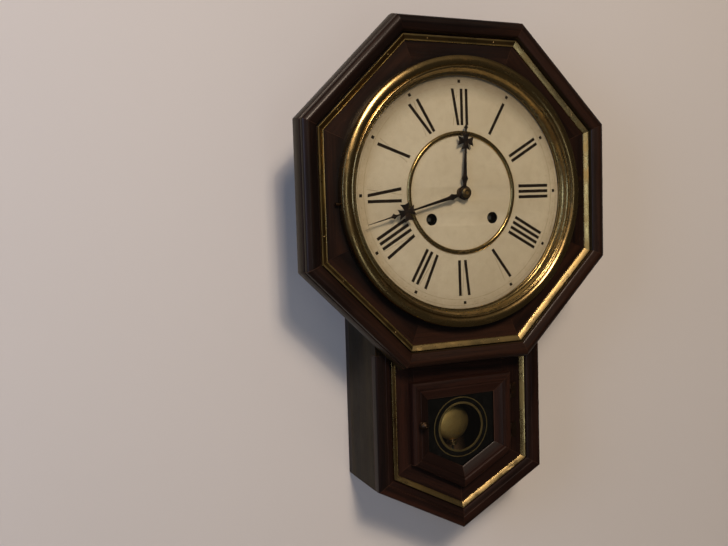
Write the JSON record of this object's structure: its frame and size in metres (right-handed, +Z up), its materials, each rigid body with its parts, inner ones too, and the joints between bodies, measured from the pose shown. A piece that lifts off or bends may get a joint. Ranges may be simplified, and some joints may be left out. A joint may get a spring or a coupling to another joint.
{
  "type": "schoolhouse wall clock",
  "caption": "Wall clock with an octagonal moulded head, round glazed bezel over a painted dial, and a V-bottomed drop case with a small glazed door over the pendulum.",
  "frame": {"origin": "on the back face of the case, straight behind the centre of the dial", "axes": "+Z up, -Y out of the dial towards the viewer, +Y into the wall, +X to the viewer's right"},
  "size_m": [0.306, 0.0898, 0.4611],
  "materials": {
    "stained_wood": "dark red-brown stain under aged shellac, semi-gloss",
    "raw_wood": "bare softwood, dusty",
    "case_brass": "aged, lightly tarnished",
    "movement_brass": "satin",
    "steel": "satin",
    "blued_steel": "blackened, slightly worn",
    "cast_iron": "as cast, painted black",
    "dial_enamel": "aged cream paint, matte",
    "clear_glass": "old window glass",
    "painted_glass": "black paint on the back with gilt rings and a clear centre"
  },
  "bodies": {
    "case": {"back_board": "raw_wood", "hanger_plate": "case_brass", "case_side_left": "stained_wood", "case_side_right": "stained_wood", "case_top": "stained_wood", "case_bottom_left": "stained_wood", "case_bottom_right": "stained_wood", "octagon_board": "stained_wood", "octagon_moulding": "stained_wood", "octagon_bead": "case_brass", "drop_panel": "stained_wood", "drop_moulding": "stained_wood", "drop_bead": "case_brass", "door_hinge_upper": "case_brass", "door_hinge_lower": "case_brass", "dial": "dial_enamel", "dial_ring": "case_brass", "bezel_hinge": "case_brass", "movement_back_plate": "movement_brass", "movement_front_plate": "movement_brass", "movement_pillar_1": "movement_brass", "movement_pillar_2": "movement_brass", "movement_pillar_3": "movement_brass", "movement_pillar_4": "movement_brass", "suspension_cock": "movement_brass", "gong_block": "cast_iron", "gong_coil": "steel"},
    "bezel": {"bezel": "case_brass", "bezel_glass": "clear_glass", "sight_ring": "case_brass", "bezel_pull": "case_brass", "bezel_leaf": "case_brass"},
    "door": {"door_frame": "stained_wood", "door_glass": "painted_glass", "door_leaf_upper": "case_brass", "door_leaf_lower": "case_brass"},
    "door_latch": {"door_knob": "case_brass"},
    "minute_hand": {"minute_hand": "blued_steel", "cannon_pinion": "movement_brass", "hand_nut": "case_brass"},
    "minute_wheel": {"minute_wheel": "movement_brass"},
    "hour_hand": {"hour_hand": "blued_steel", "hour_wheel": "movement_brass"},
    "time_barrel": {"time_barrel": "movement_brass"},
    "time_winding_arbor": {"time_winding_arbor": "steel"},
    "centre_wheel": {"centre_wheel": "movement_brass"},
    "third_wheel": {"third_wheel": "movement_brass"},
    "escape_wheel": {"escape_wheel": "movement_brass"},
    "verge": {"verge": "steel"},
    "pendulum": {"suspension_spring": "steel", "pendulum_rod": "steel", "pendulum_bob": "case_brass", "rating_nut": "case_brass"},
    "strike_barrel": {"strike_barrel": "movement_brass"},
    "strike_winding_arbor": {"strike_winding_arbor": "steel"},
    "strike_pin_wheel": {"strike_pin_wheel": "movement_brass"},
    "strike_fly": {"strike_fly": "movement_brass"},
    "strike_hammer": {"strike_hammer": "steel"}
  },
  "joints": [
    {"name": "bezel_swing", "type": "hinge", "parent": "case", "child": "bezel", "pos_m": [0.1224, -0.081, 0], "axis": [0, 0, 1], "range_deg": [0, 120]},
    {"name": "door_swing", "type": "hinge", "parent": "case", "child": "door", "pos_m": [0.0535, -0.067, -0.205], "axis": [0, 0, 1], "range_deg": [0, 110]},
    {"name": "door_latch_turn", "type": "hinge", "parent": "door", "child": "door_latch", "pos_m": [-0.043, -0.07, -0.205], "axis": [0, 1, 0], "range_deg": [0, 90]},
    {"name": "minute_hand_turn", "type": "hinge", "parent": "case", "child": "minute_hand", "pos_m": [0, -0.08, 0], "axis": [0, 1, 0], "continuous": true},
    {"name": "minute_wheel_turn", "type": "hinge", "parent": "case", "child": "minute_wheel", "pos_m": [0.01559, -0.058, 0.009], "axis": [0, 1, 0], "continuous": true},
    {"name": "hour_hand_turn", "type": "hinge", "parent": "case", "child": "hour_hand", "pos_m": [0, -0.07, 0], "axis": [0, 1, 0], "continuous": true},
    {"name": "escape_wheel_turn", "type": "hinge", "parent": "case", "child": "escape_wheel", "pos_m": [0, -0.028, 0.0319], "axis": [0, 1, 0], "continuous": true},
    {"name": "third_wheel_turn", "type": "hinge", "parent": "case", "child": "third_wheel", "pos_m": [-0.02413, -0.028, 0.01914], "axis": [0, 1, 0], "continuous": true},
    {"name": "centre_wheel_turn", "type": "hinge", "parent": "case", "child": "centre_wheel", "pos_m": [0, -0.04, 0], "axis": [0, 1, 0], "continuous": true},
    {"name": "time_barrel_turn", "type": "hinge", "parent": "case", "child": "time_barrel", "pos_m": [-0.031, -0.028, -0.0227], "axis": [0, 1, 0], "continuous": true},
    {"name": "time_winding", "type": "hinge", "parent": "case", "child": "time_winding_arbor", "pos_m": [-0.031, -0.06, -0.0227], "axis": [0, 1, 0], "continuous": true},
    {"name": "pendulum_swing", "type": "hinge", "parent": "case", "child": "pendulum", "pos_m": [0, -0.05, 0.046], "axis": [0, 1, 0], "range_deg": [-4, 4]},
    {"name": "verge_rock", "type": "hinge", "parent": "case", "child": "verge", "pos_m": [0, -0.03, 0.046], "axis": [0, 1, 0], "range_deg": [-4, 4]},
    {"name": "fly_turn", "type": "hinge", "parent": "case", "child": "strike_fly", "pos_m": [0.04583, -0.03, 0.02532], "axis": [0, 1, 0], "continuous": true},
    {"name": "pin_wheel_turn", "type": "hinge", "parent": "case", "child": "strike_pin_wheel", "pos_m": [0.05147, -0.03, 0.00981], "axis": [0, 1, 0], "continuous": true},
    {"name": "strike_barrel_turn", "type": "hinge", "parent": "case", "child": "strike_barrel", "pos_m": [0.031, -0.03, -0.0227], "axis": [0, 1, 0], "continuous": true},
    {"name": "strike_winding", "type": "hinge", "parent": "case", "child": "strike_winding_arbor", "pos_m": [0.031, -0.06, -0.0227], "axis": [0, 1, 0], "continuous": true},
    {"name": "hammer_lift", "type": "hinge", "parent": "case", "child": "strike_hammer", "pos_m": [0.044, -0.0184, -0.058], "axis": [0, -1, 0], "range_deg": [0, 12], "stiffness_Nm_per_rad": 0.05, "springref_deg": -11.46}
  ],
  "couplings": [
    {"joint": "minute_wheel_turn", "follows": "minute_hand_turn", "ratio": -0.33333},
    {"joint": "hour_hand_turn", "follows": "minute_hand_turn", "ratio": 0.083333},
    {"joint": "third_wheel_turn", "follows": "escape_wheel_turn", "ratio": -0.083333},
    {"joint": "centre_wheel_turn", "follows": "escape_wheel_turn", "ratio": 0.0083333},
    {"joint": "time_barrel_turn", "follows": "escape_wheel_turn", "ratio": -0.00092593},
    {"joint": "verge_rock", "follows": "pendulum_swing", "ratio": 1},
    {"joint": "pin_wheel_turn", "follows": "fly_turn", "ratio": -0.14583},
    {"joint": "strike_barrel_turn", "follows": "fly_turn", "ratio": 0.016204}
  ]
}
